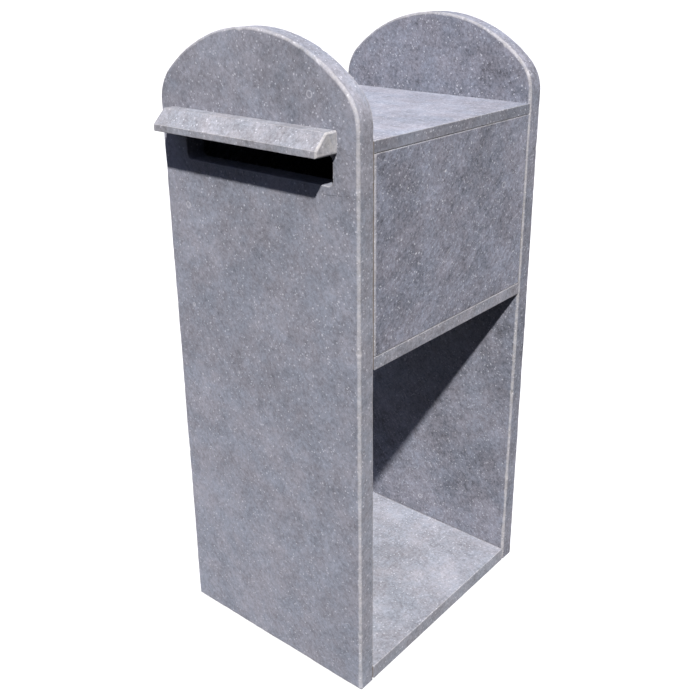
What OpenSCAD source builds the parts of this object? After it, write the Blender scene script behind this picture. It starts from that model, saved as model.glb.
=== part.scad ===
// Free-standing pillar letterbox of honed blue limestone slabs.
// Two arch-topped slabs stand on edge and are tied by a base, a shelf and a roof slab.
// The letter compartment between shelf and roof has a slot with a hood in front and a
// locked steel door behind. The space under the shelf is an open niche.
//
// Origin: centre of the footprint, on the ground. +X to the right of a person who faces the
// slot, +Y from the slot to the door, +Z up.

/* [Slabs] */
// Width of the front and the back slab
slab_w = 350; // [290:1:430]
// Depth from the front face to the back face
overall_d = 426; // [340:1:520]
// Thickness of the front and the back slab
slab_t = 30; // [25:1:40]
// Chamfer on the edges of the front and the back slab
arris = 3.5; // [1:0.5:5]
// Height of the arches above their spring line
arch_rise = 107; // [90:1:140]
// Height of the spring line above the top of the roof slab
spring_stand = 15; // [5:1:60]
// Radius of the shoulders, where the sides turn into the arch
shoulder_r = 62; // [20:1:75]

/* [Niche and letter compartment] */
// Clear height of the open niche
niche_h = 482; // [300:1:600]
// Clear height of the letter compartment
box_h = 264; // [200:1:330]
// Thickness of the base slab
base_t = 23; // [16:1:30]
// Thickness of the shelf slab, the floor of the compartment
shelf_t = 18; // [16:1:30]
// Thickness of the roof slab
roof_t = 15; // [14:1:30]
// Thickness of the two side panels
panel_t = 20; // [16:1:30]
// Chamfer on the edges of these thinner pieces
fine_arris = 0.8; // [0.5:0.1:2]

/* [Adhesive and dowels] */
// Thickness of the adhesive beds
bed_t = 1.0; // [0.5:0.1:2]
// How far a bed stays behind the visible edges
bed_recess = 1.5; // [0.5:0.5:4]
// How far the beds of the side panels stay behind the faces
panel_bed_recess = 0.8; // [0.5:0.1:2]
// Radius of the steel dowels
dowel_r = 4; // [3:0.5:5]
// Depth of a dowel in the front or the back slab
dowel_in_slab = 14; // [10:1:16]
// Depth of a dowel in the piece that it holds
dowel_in_piece = 22; // [15:1:30]
// Radial clearance of a dowel in its hole
dowel_fit = 0.1; // [0.05:0.05:0.3]
// Distance of the dowels from the ends of the edge that they hold
dowel_inset = 60; // [40:1:80]

/* [Slot and hood] */
// Distance from the ends of the slot to the sides of the front slab
slot_margin = 44; // [30:1:60]
// Sideways offset of the slot from the centre line
slot_x = 4; // [-6:0.5:6]
// Height of stone between the slot and the ceiling of the compartment
slot_drop = 3; // [0:0.5:20]
// Height of the slot
slot_h = 38; // [30:1:60]
// Radius of the corners of the slot
slot_r = 8; // [4:0.5:14]
// Chamfer on the front edge of the slot
slot_arris = 1; // [0.5:0.5:2]
// How far the hood reaches past the ends of a slot in the middle
hood_overlap = 14; // [6:1:25]
// Sideways offset of the hood from the centre line
hood_x = -1; // [-6:0.5:6]
// Height of the underside of the hood above the slot
hood_gap = 3; // [1:0.5:12]
// Overall height of the hood
hood_h = 28; // [20:1:40]
// How far the hood stands out from the front face
hood_out = 39; // [30:1:60]
// Height of the upright nose of the hood
hood_nose = 9; // [6:1:14]
// Depth of the bevel above the nose
hood_bevel = 19; // [12:1:26]
// Chamfer on the ends of the hood
hood_arris = 2.5; // [1:0.5:4]

/* [Door frame] */
// Stone left on each side of the door opening
door_margin = 50; // [40:1:70]
// Height of the sill of the opening above the shelf
door_sill = 16; // [14:1:40]
// Height of stone between the opening and the ceiling of the compartment
door_head = 31; // [24:1:60]
// Thickness of the frame's sheet
frame_t = 2; // [1.5:0.5:3]
// Gap between the frame and the stone
frame_fit = 0.5; // [0.3:0.1:1.5]
// Width of the lip that lies on the back face
lip_w = 20; // [18:1:24]
// Width of the stop that the door closes against
stop_w = 12; // [10:1:16]
// Thickness of the gasket on the stop
gasket_t = 3; // [2:0.5:5]
// Radius of the frame screws
screw_r = 1.8; // [1.5:0.1:2.2]
// Radius of the wall plugs
plug_r = 3; // [2.8:0.1:3.5]
// Length of the wall plugs
plug_len = 20; // [15:1:22]

/* [Door and hinges] */
// Thickness of the door's sheet
door_t = 1.5; // [1:0.5:2.5]
// Gap between the door and the frame
door_gap = 3; // [2.5:0.5:4]
// Height of one hinge
hinge_h = 42; // [30:1:50]
// Distance of the hinges from the ends of the door
hinge_inset = 22; // [14:1:30]
// Radius of a hinge knuckle
knuckle_r = 3; // [2.5:0.1:3.5]
// Radius of a hinge pin
pin_r = 1.5; // [1.2:0.1:1.8]
// Width of a hinge leaf
leaf_w = 16; // [12:1:18]
// Thickness of a hinge leaf
leaf_t = 1.5; // [1:0.5:2]

/* [Lock] */
// Radius of the lock's barrel
barrel_r = 8; // [7:0.5:9.5]
// Wall of the barrel around the plug
barrel_wall = 2; // [1.5:0.1:2.5]
// Distance of the lock from the free edge of the door
lock_inset = 25; // [22:1:40]
// Reach of the cam from the lock's axis
cam_reach = 24; // [20:1:26]
// Width of the cam
cam_w = 12; // [10:1:14]
// Thickness of the cam
cam_t = 2; // [1.5:0.5:3]
// Length of the key's blade
key_blade = 22; // [16:1:24]
// Width of the key's blade
key_w = 7.4; // [6:0.1:7.6]
// Thickness of the key
key_t = 1.8; // [1.4:0.1:2.2]
// Radius of the key's bow
bow_r = 11; // [9:0.5:13]

/* [Hidden] */
$fn = 96;
eps = 0.01;
cut = 1;                // how far a cutting tool stands out of what it cuts
run_fit = 0.06;         // radial clearance of a pin or a plug that turns
part_gap = 0.4;         // gap between pieces that pass each other
dowel_end_gap = 1;      // room at the end of a dowel's hole
hood_dowel_share = 0.43;  // height of the dowels in the hood, as a share of its height

// heights, from the ground up
shelf_z = base_t + niche_h;
floor_z = shelf_z + shelf_t;
ceiling_z = floor_z + box_h;
roof_top = ceiling_z + roof_t;
spring_z = roof_top + spring_stand;
overall_h = spring_z + arch_rise;

// plan
half_w = slab_w / 2;
front_y = -overall_d / 2;
back_y = overall_d / 2;
in_front = front_y + slab_t;
in_back = back_y - slab_t;
tie_len = in_back - in_front - 2 * bed_t;
panel_h = box_h - 2 * bed_t;

// arch: a circle through the top that the two shoulder circles touch from inside
shoulder_x = half_w - shoulder_r;
arch_r = (shoulder_x * shoulder_x + arch_rise * arch_rise - shoulder_r * shoulder_r)
         / (2 * (arch_rise - shoulder_r));
arch_z = overall_h - arch_r;

// slot and hood
slot_w = slab_w - 2 * slot_margin;
slot_top = ceiling_z - slot_drop;
slot_z = slot_top - slot_h / 2;
hood_w = slot_w + 2 * hood_overlap;
hood_z = slot_top + hood_gap;
hood_back = front_y - bed_t;
hood_front = front_y - hood_out;

// door opening in the back slab, and what fills it
open_w = slab_w - 2 * door_margin;
open_h = box_h - door_sill - door_head;
open_z = floor_z + door_sill + open_h / 2;
frame_w = open_w - 2 * frame_fit;
frame_h = open_h - 2 * frame_fit;
lip_y = back_y + frame_t;                        // outer face of the lip and of the door
stop_y = in_back + frame_t;                      // inner face of the stop
screw_x = open_w / 2 + lip_w / 2 + frame_fit;
screw_z = open_h / 2 + lip_w / 2 + frame_fit;
door_w = frame_w - 2 * frame_t - 2 * door_gap;
door_h = frame_h - 2 * frame_t - 2 * door_gap;
door_in = stop_y + frame_t + gasket_t + part_gap;  // inner edge of the door's returns
door_d = lip_y - door_in;

// hinges on the left, as seen from the slot
hinge_x = -door_w / 2 - door_gap / 2;
hinge_y = lip_y + knuckle_r + part_gap;
hinge_zs = [open_z - door_h / 2 + hinge_inset + hinge_h / 2,
            open_z + door_h / 2 - hinge_inset - hinge_h / 2];
knuckle_h = hinge_h / 3;

// lock
lock_x = door_w / 2 - lock_inset;
lock_z = open_z;
bezel_t = 2.5;
bezel_r = barrel_r + 3;
nut_t = 4;
turn_r = barrel_r - barrel_wall;                 // radius of the plug that turns
cam_y = stop_y - part_gap;                       // outer face of the cam
barrel_in = cam_y + 1.2;                         // inner end of the barrel
tang = 6;                                        // side of the square that carries the cam
neck_r = tang / sqrt(2) + 0.4;                   // round neck between the barrel and the square
cam_screw_r = 2;
keyway_d = key_blade + 1.5;
plug_front = lip_y + bezel_t + 0.4;

STONE = "#8d90a0";
STONE_TOP = "#b4b8c6";
BED = "#6b6258";
STEEL = "#b9bcc0";
DARK_STEEL = "#8a8d92";
RUBBER = "#1d1e20";
NYLON = "#b7b4aa";
CHROME = "#c9ccd0";

// ---- shapes ----

// A rectangle about the origin with its four corners cut at 45 degrees.
module cut_corners(w, h, c) {
    x = w / 2;
    z = h / 2;
    polygon([[-x + c, -z], [x - c, -z], [x, -z + c], [x, z - c],
             [x - c, z], [-x + c, z], [-x, z - c], [-x, -z + c]]);
}

// A block about the origin with all twelve edges chamfered by c.
module chamfered_block(size, c) {
    intersection() {
        linear_extrude(size[2], center = true) cut_corners(size[0], size[1], c);
        rotate([90, 0, 0]) linear_extrude(size[1], center = true) cut_corners(size[0], size[2], c);
        rotate([90, 0, 90]) linear_extrude(size[0], center = true) cut_corners(size[1], size[2], c);
    }
}

// A rectangle about the origin with round corners.
module round_corners(w, h, r) {
    square([w - 2 * r, h], center = true);
    square([w, h - 2 * r], center = true);
    for (x = [-1, 1], z = [-1, 1])
        translate([x * (w / 2 - r), z * (h / 2 - r)]) circle(r);
}

// A straight rod along +Y from the point given.
module rod(at, r, len) {
    translate(at) rotate([-90, 0, 0]) cylinder(r = r, h = len);
}

// A picture-frame ring in the plane of the door, from y0 to y1.
module door_ring(outer_w, outer_h, wall, y0, y1) {
    translate([0, y1, open_z]) rotate([90, 0, 0]) linear_extrude(y1 - y0) difference() {
        square([outer_w, outer_h], center = true);
        square([outer_w - 2 * wall, outer_h - 2 * wall], center = true);
    }
}

// ---- places of the dowels: [x, z] on the inner faces of the front and the back slab ----

tie_x = half_w - dowel_inset;
panel_x = half_w - panel_t / 2;
base_spots = [for (s = [-1, 1]) [s * tie_x, base_t / 2]];
shelf_spots = [for (s = [-1, 1]) [s * tie_x, shelf_z + shelf_t / 2]];
roof_spots = [for (s = [-1, 1]) [s * tie_x / 2, ceiling_z + roof_t / 2]];
panel_spots = [for (s = [-1, 1], z = [floor_z + dowel_inset, ceiling_z - dowel_inset])
               [s * panel_x, z]];
hood_dowel_x = hood_w / 2 - dowel_inset / 2;
hood_spots = [for (s = [-1, 1]) [hood_x + s * hood_dowel_x, hood_z + hood_h * hood_dowel_share]];
tie_spots = concat(base_spots, shelf_spots, roof_spots, panel_spots);

hood_hole_len = dowel_in_slab + bed_t + dowel_in_piece;
tie_dowel_len = hood_hole_len - dowel_end_gap;
hood_dowel_len = hood_hole_len - dowel_end_gap;

module tie_dowels(spots) {
    for (p = spots) {
        rod([p[0], in_front - dowel_in_slab, p[1]], dowel_r, tie_dowel_len);
        rod([p[0], in_back + dowel_in_slab - tie_dowel_len, p[1]], dowel_r, tie_dowel_len);
    }
}

// Holes for the dowels of the pieces between the slabs, through the slab skin and the beds.
module tie_holes(spots) {
    for (p = spots) {
        rod([p[0], in_front - dowel_in_slab, p[1]], dowel_r + dowel_fit,
            dowel_in_slab + bed_t + dowel_in_piece);
        rod([p[0], in_back - bed_t - dowel_in_piece, p[1]], dowel_r + dowel_fit,
            dowel_in_slab + bed_t + dowel_in_piece);
    }
}

module hood_holes() {
    for (p = hood_spots)
        rod([p[0], front_y + dowel_in_slab - hood_hole_len, p[1]], dowel_r + dowel_fit, hood_hole_len);
}

// ---- stone ----

// A disc of the slab's thickness about the Y axis, both rims chamfered.
module slab_disc(r) {
    rotate([-90, 0, 0]) rotate_extrude($fn = 240)
        polygon([[0, 0], [r - arris, 0], [r, arris], [r, slab_t - arris],
                 [r - arris, slab_t], [0, slab_t]]);
}

// The arch-topped slab, from y to y + slab_t. The fan is what the large circle bounds: it lies
// between the lines from the centres of the shoulders to where they touch the arch.
module slab_blank(y) {
    lean = shoulder_x / (arch_r - shoulder_r);
    rise = (spring_z - arch_z) / (arch_r - shoulder_r);
    fan_x = shoulder_x + lean * 2 * shoulder_r;
    fan_z = spring_z + rise * 2 * shoulder_r;
    intersection() {
        translate([0, y + slab_t / 2, overall_h / 2])
            chamfered_block([slab_w, slab_t, overall_h], arris);
        union() {
            translate([-half_w, y, 0]) cube([slab_w, slab_t, spring_z]);
            for (s = [-1, 1]) translate([s * shoulder_x, y, spring_z]) slab_disc(shoulder_r);
            intersection() {
                translate([0, y, arch_z]) slab_disc(arch_r);
                translate([0, y + slab_t + cut, 0]) rotate([90, 0, 0]) linear_extrude(slab_t + 2 * cut)
                    polygon([[-shoulder_x, spring_z - cut], [shoulder_x, spring_z - cut],
                             [shoulder_x, spring_z], [fan_x, fan_z], [fan_x, overall_h + cut],
                             [-fan_x, overall_h + cut], [-fan_x, fan_z], [-shoulder_x, spring_z]]);
            }
        }
    }
}

// The slot with its front edge chamfered: the flare is cones at the corners and wedges between.
module slot_cut() {
    c = slot_arris + eps;
    x = slot_w / 2 - slot_r;
    z = slot_h / 2 - slot_r;
    translate([slot_x, front_y, slot_z]) {
        translate([0, slab_t + cut, 0]) rotate([90, 0, 0]) linear_extrude(slab_t + 2 * cut)
            round_corners(slot_w, slot_h, slot_r);
        for (i = [-1, 1], k = [-1, 1])
            translate([i * x, -eps, k * z]) rotate([-90, 0, 0])
                cylinder(r1 = slot_r + c, r2 = slot_r, h = c);
        rotate([90, 0, 90]) linear_extrude(2 * x, center = true)
            polygon([[-eps, -z - slot_r - c], [c, -z - slot_r], [c, z + slot_r], [-eps, z + slot_r + c]]);
        linear_extrude(2 * z, center = true)
            polygon([[-x - slot_r - c, -eps], [x + slot_r + c, -eps], [x + slot_r, c], [-x - slot_r, c]]);
    }
}

module front_slab() {
    color(STONE) difference() {
        slab_blank(front_y);
        slot_cut();
        tie_holes(tie_spots);
        hood_holes();
    }
}

module back_slab() {
    color(STONE) difference() {
        slab_blank(in_back);
        translate([0, in_back + slab_t / 2, open_z])
            cube([open_w, slab_t + 2 * cut, open_h], center = true);
        tie_holes(tie_spots);
        for (x = [-1, 1], z = [-1, 1])
            rod([x * screw_x, back_y - plug_len, open_z + z * screw_z], plug_r + dowel_fit, plug_len + cut);
    }
}

// A slab that ties the front and the back one, with its underside at z.
module tie_slab(z, t, spots) {
    difference() {
        translate([0, 0, z + t / 2]) chamfered_block([slab_w, tie_len, t], fine_arris);
        tie_holes(spots);
    }
}

module base_slab() {
    color(STONE) tie_slab(0, base_t, base_spots);
}

module shelf_slab() {
    color(STONE) tie_slab(shelf_z, shelf_t, shelf_spots);
}

module roof_slab() {
    color(STONE_TOP) tie_slab(ceiling_z, roof_t, roof_spots);
}

// A side panel on the side given: -1 is left, 1 is right.
module side_panel(side) {
    color(STONE) difference() {
        translate([side * panel_x, 0, floor_z + box_h / 2])
            chamfered_block([panel_t, tie_len, panel_h], fine_arris);
        tie_holes(panel_spots);
    }
}

module left_panel() {
    side_panel(-1);
}

module right_panel() {
    side_panel(1);
}

// The hood: a strip with an upright nose and a bevel, its ends chamfered along nose and bevel.
module slot_hood() {
    depth = hood_back - hood_front;
    rise = hood_h - hood_nose;
    slope = atan2(rise, hood_bevel);
    run = norm([rise, hood_bevel]);
    color(STONE_TOP) difference() {
        intersection() {
            translate([hood_x, 0, 0]) rotate([90, 0, 90]) linear_extrude(hood_w, center = true)
                polygon([[hood_front, hood_z], [hood_back, hood_z], [hood_back, hood_z + hood_h],
                         [hood_front + hood_bevel, hood_z + hood_h], [hood_front, hood_z + hood_nose]]);
            translate([hood_x, hood_front + depth, hood_z + hood_h / 2])
                chamfered_block([hood_w, 2 * depth, hood_h], hood_arris / 2);
            translate([hood_x, hood_front, hood_z + hood_nose]) rotate([slope, 0, 0])
                translate([0, run / 2, -run]) chamfered_block([hood_w, 4 * run, 2 * run], hood_arris);
        }
        hood_holes();
    }
}

// ---- steel dowels ----

module base_dowels() {
    color(DARK_STEEL) tie_dowels(base_spots);
}

module shelf_dowels() {
    color(DARK_STEEL) tie_dowels(shelf_spots);
}

module roof_dowels() {
    color(DARK_STEEL) tie_dowels(roof_spots);
}

module panel_dowels() {
    color(DARK_STEEL) tie_dowels(panel_spots);
}

module hood_dowels() {
    color(DARK_STEEL) for (p = hood_spots)
        rod([p[0], front_y + dowel_in_slab - hood_dowel_len, p[1]], dowel_r, hood_dowel_len);
}

// ---- adhesive beds ----

// The ends of the base, the shelf, the roof and the panels, in the plane of the slab faces.
module end_outline() {
    r = bed_recess;
    translate([-half_w + r, r]) square([slab_w - 2 * r, base_t - 2 * r]);
    difference() {
        translate([-half_w + r, shelf_z + r]) square([slab_w - 2 * r, roof_top - shelf_z - 2 * r]);
        translate([-half_w + panel_t - r, floor_z - r])
            square([slab_w - 2 * panel_t + 2 * r, box_h + 2 * r]);
    }
}

module end_bed(y) {
    color(BED) difference() {
        translate([0, y + bed_t, 0]) rotate([90, 0, 0]) linear_extrude(bed_t) end_outline();
        tie_holes(tie_spots);
    }
}

module front_bed() {
    end_bed(in_front);
}

module back_bed() {
    end_bed(in_back - bed_t);
}

// The beds under and over the two side panels.
module panel_beds() {
    r = panel_bed_recess;
    color(BED) for (s = [-1, 1], z = [floor_z, ceiling_z - bed_t])
        translate([s * panel_x - panel_t / 2 + r, -tie_len / 2 + r, z])
            cube([panel_t - 2 * r, tie_len - 2 * r, bed_t]);
}

module hood_bed() {
    r = bed_recess;
    color(BED) difference() {
        translate([hood_x - hood_w / 2 + r, hood_back, hood_z + r])
            cube([hood_w - 2 * r, bed_t, hood_h - 2 * r]);
        hood_holes();
    }
}

// ---- door frame ----

// A folded frame: a lip on the back face, a wall through the slab and a stop inside.
module door_frame() {
    color(STEEL) difference() {
        union() {
            door_ring(open_w + 2 * lip_w, open_h + 2 * lip_w, lip_w + frame_fit + frame_t, back_y, lip_y);
            door_ring(frame_w, frame_h, frame_t, stop_y, lip_y);
            door_ring(frame_w, frame_h, stop_w + frame_t, stop_y, stop_y + frame_t);
        }
        for (x = [-1, 1], z = [-1, 1])
            rod([x * screw_x, back_y - cut, open_z + z * screw_z], screw_r + dowel_fit, frame_t + 2 * cut);
    }
}

module frame_plugs() {
    color(NYLON) for (x = [-1, 1], z = [-1, 1]) difference() {
        rod([x * screw_x, back_y - plug_len, open_z + z * screw_z], plug_r, plug_len);
        rod([x * screw_x, back_y - plug_len + 2, open_z + z * screw_z], screw_r + run_fit, plug_len);
    }
}

// Pan-head screws with a cross recess.
module frame_screws() {
    head_r = 2 * screw_r;
    head_h = 2.2;
    shank = frame_t + plug_len - 3;
    cross_w = 0.7;
    cross_d = 1.3;
    color(STEEL) for (x = [-1, 1], z = [-1, 1])
        translate([x * screw_x, lip_y, open_z + z * screw_z]) difference() {
            union() {
                rod([0, -shank, 0], screw_r, shank + eps);
                rotate([-90, 0, 0]) rotate_extrude()
                    polygon([[0, 0], [head_r, 0], [head_r, head_h * 0.5], [head_r * 0.8, head_h * 0.9],
                             [head_r * 0.5, head_h], [0, head_h]]);
            }
            for (a = [0, 90]) rotate([0, a, 0])
                translate([0, head_h, 0]) cube([cross_w, 2 * cross_d, head_r], center = true);
        }
}

module door_gasket() {
    color(RUBBER) door_ring(frame_w - 2 * frame_t - 1, frame_h - 2 * frame_t - 1, stop_w - 2,
                            stop_y + frame_t, stop_y + frame_t + gasket_t);
}

// ---- hinges ----

// The knuckles numbered in list, with the leaf that they carry, on the side given.
module hinge_leaf(list, side, bore) {
    reach = knuckle_r + part_gap;
    for (zc = hinge_zs) difference() {
        union() {
            translate([hinge_x + (side > 0 ? reach : -leaf_w), lip_y, zc - hinge_h / 2])
                cube([leaf_w - reach, leaf_t, hinge_h]);
            for (i = list) translate([hinge_x, hinge_y, zc + (i - 1.5) * knuckle_h + part_gap / 2]) {
                cylinder(r = knuckle_r, h = knuckle_h - part_gap);
                translate([side > 0 ? 0 : -reach - eps, lip_y - hinge_y, 0])
                    cube([reach + eps, leaf_t, knuckle_h - part_gap]);
            }
        }
        translate([hinge_x, hinge_y, zc - hinge_h / 2 - cut]) cylinder(r = bore, h = hinge_h + 2 * cut);
    }
}

module hinge_frame_leaves() {
    color(STEEL) hinge_leaf([0, 2], -1, pin_r + run_fit / 3);
}

module hinge_door_leaves() {
    color(STEEL) hinge_leaf([1], 1, pin_r + run_fit);
}

// Pins with a round head at both ends.
module hinge_pins() {
    head = 0.8;
    color(DARK_STEEL) for (zc = hinge_zs) translate([hinge_x, hinge_y, zc - hinge_h / 2]) {
        translate([0, 0, part_gap / 2 - eps]) cylinder(r = pin_r, h = hinge_h - part_gap + 2 * eps);
        for (z = [part_gap / 2 - head, hinge_h - part_gap / 2])
            translate([0, 0, z]) cylinder(r = knuckle_r * 0.8, h = head);
    }
}

// ---- door ----

// A tray folded from one sheet, open to the inside, with a round hole for the lock.
module door_leaf() {
    color(STEEL) difference() {
        translate([0, (door_in + lip_y) / 2, open_z]) cube([door_w, door_d, door_h], center = true);
        translate([0, door_in - cut, open_z])
            translate([-door_w / 2 + door_t, 0, -door_h / 2 + door_t])
                cube([door_w - 2 * door_t, door_d - door_t + cut, door_h - 2 * door_t]);
        rod([lock_x, lip_y - door_t - cut, lock_z], barrel_r + dowel_fit, door_t + 2 * cut);
    }
}

// ---- lock ----

// A bezel on the door's face and a barrel that reaches inside, bored for the plug.
module lock_housing() {
    color(CHROME) difference() {
        union() {
            rod([lock_x, barrel_in, lock_z], barrel_r, lip_y - barrel_in + eps);
            translate([lock_x, lip_y, lock_z]) rotate([-90, 0, 0]) rotate_extrude()
                polygon([[0, 0], [bezel_r, 0], [bezel_r, bezel_t * 0.5],
                         [bezel_r - bezel_t * 0.5, bezel_t], [0, bezel_t]]);
        }
        rod([lock_x, barrel_in - cut, lock_z], turn_r + run_fit, lip_y + bezel_t - barrel_in + 2 * cut);
    }
}

module lock_nut() {
    flats = 2 * barrel_r + 6;
    color(DARK_STEEL) translate([lock_x, lip_y - door_t, lock_z]) rotate([90, 0, 0])
        difference() {
            cylinder(r = flats / 2 / cos(30), h = nut_t, $fn = 6);
            translate([0, 0, -cut]) cylinder(r = barrel_r + run_fit, h = nut_t + 2 * cut);
        }
}

// The plug that the key turns, with a keyway in front and a square for the cam behind.
module lock_plug() {
    color(CHROME) difference() {
        union() {
            rod([lock_x, barrel_in, lock_z], turn_r, plug_front - barrel_in);
            rod([lock_x, cam_y, lock_z], neck_r, barrel_in - cam_y + eps);
            translate([lock_x - tang / 2, cam_y - cam_t, lock_z - tang / 2])
                cube([tang, cam_t + eps, tang]);
        }
        translate([lock_x, plug_front - keyway_d / 2 + cut / 2, lock_z])
            cube([key_t + 2 * part_gap, keyway_d + cut, key_w + 2 * part_gap], center = true);
        rod([lock_x, cam_y - cam_t - cut, lock_z], cam_screw_r + run_fit, cut + cam_t + 5);
    }
}

// A flat bar with a round end, hanging from the plug's square.
module lock_cam() {
    color(STEEL) translate([lock_x, cam_y, lock_z]) rotate([90, 0, 0]) linear_extrude(cam_t)
        difference() {
            union() {
                circle(cam_w / 2);
                translate([-cam_w / 2, -cam_reach + cam_w / 2]) square([cam_w, cam_reach - cam_w / 2]);
                translate([0, -cam_reach + cam_w / 2]) circle(cam_w / 2);
            }
            square(tang + 2 * run_fit, center = true);
        }
}

// A hex-head screw with its washer, which keeps the cam on the square.
module cam_screw() {
    washer_t = 0.8;
    head_h = 2;
    color(DARK_STEEL) translate([lock_x, cam_y - cam_t, lock_z]) rotate([90, 0, 0]) {
        translate([0, 0, -cam_t - 4]) cylinder(r = cam_screw_r, h = cam_t + 4 + eps);
        cylinder(r = tang / 2 * 1.5, h = washer_t);
        translate([0, 0, washer_t - eps]) cylinder(r = 2 * cam_screw_r, h = head_h, $fn = 6);
    }
}

// A flat key: a plain blade and a round bow with a ring hole.
module key() {
    shoulder = 3;
    color(CHROME) translate([lock_x, plug_front + part_gap, lock_z]) rotate([90, 0, 90])
        linear_extrude(key_t, center = true) difference() {
            union() {
                translate([-key_blade, -key_w / 2]) square([key_blade + shoulder, key_w]);
                translate([shoulder + bow_r * 0.9, 0]) circle(bow_r);
            }
            translate([shoulder + bow_r * 1.35, 0]) circle(bow_r * 0.25);
        }
}

front_slab();
back_slab();
base_slab();
shelf_slab();
roof_slab();
left_panel();
right_panel();
slot_hood();
base_dowels();
shelf_dowels();
roof_dowels();
panel_dowels();
hood_dowels();
front_bed();
back_bed();
panel_beds();
hood_bed();
door_frame();
frame_plugs();
frame_screws();
door_gasket();
hinge_frame_leaves();
hinge_door_leaves();
hinge_pins();
door_leaf();
lock_housing();
lock_nut();
lock_plug();
lock_cam();
cam_screw();
key();
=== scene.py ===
# %% [markdown]
# # A pillar letterbox of blue limestone
# Two arch-topped slabs stand on edge. Between them lie a base slab, a shelf slab and a roof slab, and two
# side panels close the letter compartment. A hood shelters the slot in front, a steel door closes the back.
# The CAD model is the fixed frame: every piece below takes its place and its size from it, in metres.

import math

import bmesh
import bpy
import numpy as np
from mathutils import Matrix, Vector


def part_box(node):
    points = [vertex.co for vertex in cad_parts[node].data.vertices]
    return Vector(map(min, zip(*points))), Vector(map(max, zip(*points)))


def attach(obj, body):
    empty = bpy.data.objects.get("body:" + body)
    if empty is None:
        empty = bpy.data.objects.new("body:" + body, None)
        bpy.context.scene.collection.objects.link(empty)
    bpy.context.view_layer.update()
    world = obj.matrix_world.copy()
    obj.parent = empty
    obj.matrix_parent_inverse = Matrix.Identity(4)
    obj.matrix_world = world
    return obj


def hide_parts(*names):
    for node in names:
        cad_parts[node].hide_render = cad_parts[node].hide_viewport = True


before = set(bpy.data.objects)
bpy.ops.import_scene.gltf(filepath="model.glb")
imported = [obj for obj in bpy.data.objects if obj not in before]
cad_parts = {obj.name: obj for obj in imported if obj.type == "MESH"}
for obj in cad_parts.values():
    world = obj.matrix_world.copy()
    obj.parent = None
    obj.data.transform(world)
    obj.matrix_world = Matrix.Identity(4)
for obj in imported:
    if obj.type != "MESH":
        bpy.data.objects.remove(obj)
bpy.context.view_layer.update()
MM = 0.001

# %% [markdown]
# ## Camera
# The letterbox is seen from its right front corner, from a little above the roof slab. The lens is moderate,
# so upright edges stay nearly parallel. A small shift frames the object without tilting the camera further.

# %% Camera
scene = bpy.context.scene
CAMERA_AT = (0.8353, -1.0131, 1.0071)
CAMERA_TURN = (90 - 20.883, 0, 38.843)

lens = bpy.data.cameras.new("view_camera")
lens.sensor_width, lens.lens = 36, 46.716
lens.shift_x, lens.shift_y = -0.0275, -0.0714
camera = bpy.data.objects.new("view_camera", lens)
camera.location = CAMERA_AT
camera.rotation_euler = [math.radians(a) for a in CAMERA_TURN]
scene.collection.objects.link(camera)
scene.camera = camera
scene.view_settings.view_transform = "Standard"
print("camera stands", round(math.hypot(*CAMERA_AT[:2]), 2), "m from the pillar's axis")

# %% [markdown]
# ## Two small helpers for materials
# Colours are written as the usual sRGB hex codes, and a shader wants linear light, so one function turns the
# one into the other. Another adds a node, fills in its settings and makes its links. Every material uses them.

# %% Helpers for materials


def paint(code):
    """Linear RGBA of an sRGB hex code: each channel is ((c + 0.055) / 1.055) to the power 2.4, or c / 12.92."""
    c = np.array([int(code[i:i + 2], 16) / 255 for i in (1, 3, 5)])
    linear = np.where(c > 0.04045, ((c + 0.055) / 1.055) ** 2.4, c / 12.92)
    return (*linear.tolist(), 1.0)


def add(tree, kind, settings):
    """Adds a node. A setting is an attribute (lower case), a socket's value, or a link: another node's socket,
    or the node itself, which stands for its first output."""
    made = tree.nodes.new("ShaderNode" + kind)
    for name, value in settings.items():
        value = value.outputs[0] if isinstance(value, bpy.types.Node) else value
        if isinstance(name, str) and name.islower():
            setattr(made, name, value)
        elif isinstance(value, bpy.types.NodeSocket):
            tree.links.new(value, made.inputs[name])
        else:
            made.inputs[name].default_value = value
    return made


def new_material(name):
    """A material and its node tree, still empty."""
    made = bpy.data.materials.new(name)
    made.use_nodes = True
    made.node_tree.nodes.clear()
    return made, made.node_tree


print("mid grey #777777 is", [round(v, 3) for v in paint("#777777")[:3]], "in linear light")

# %% [markdown]
# ## Floor and light
# The floor is a pale sheet that glows a little, as a light table does, so the shadow on it stays soft and
# pale. Diffuse rays don't see it, and the ground part of the world's light takes its place, which keeps the
# underside of the hood and the niche dark. One far lamp at the right gives the shadows. Two soft low
# ones, behind and at the left, reach only the sides that the first leaves dark. Mirror rays see a paler studio
# than diffuse rays do, so that polished metal has something bright to reflect.

# %% Floor
FLOOR_HALF = 30.0
mesh = bpy.data.meshes.new("floor")
mesh.from_pydata([(x * FLOOR_HALF, y * FLOOR_HALF, 0) for x, y in ((-1, -1), (1, -1), (1, 1), (-1, 1))],
                 [], [(0, 1, 2, 3)])
floor = bpy.data.objects.new("floor", mesh)
scene.collection.objects.link(floor)
floor.visible_diffuse = False
material, tree = new_material("pale_floor")
matt = add(tree, "BsdfDiffuse", {"Color": paint("#8f8f92")})
glow = add(tree, "Emission", {"Color": paint("#ffffff"), "Strength": 0.62})
both = add(tree, "AddShader", {0: matt, 1: glow})
add(tree, "OutputMaterial", {"Surface": both})
mesh.materials.append(material)
print("floor is", 2 * FLOOR_HALF, "m wide")

# %% Light


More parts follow.
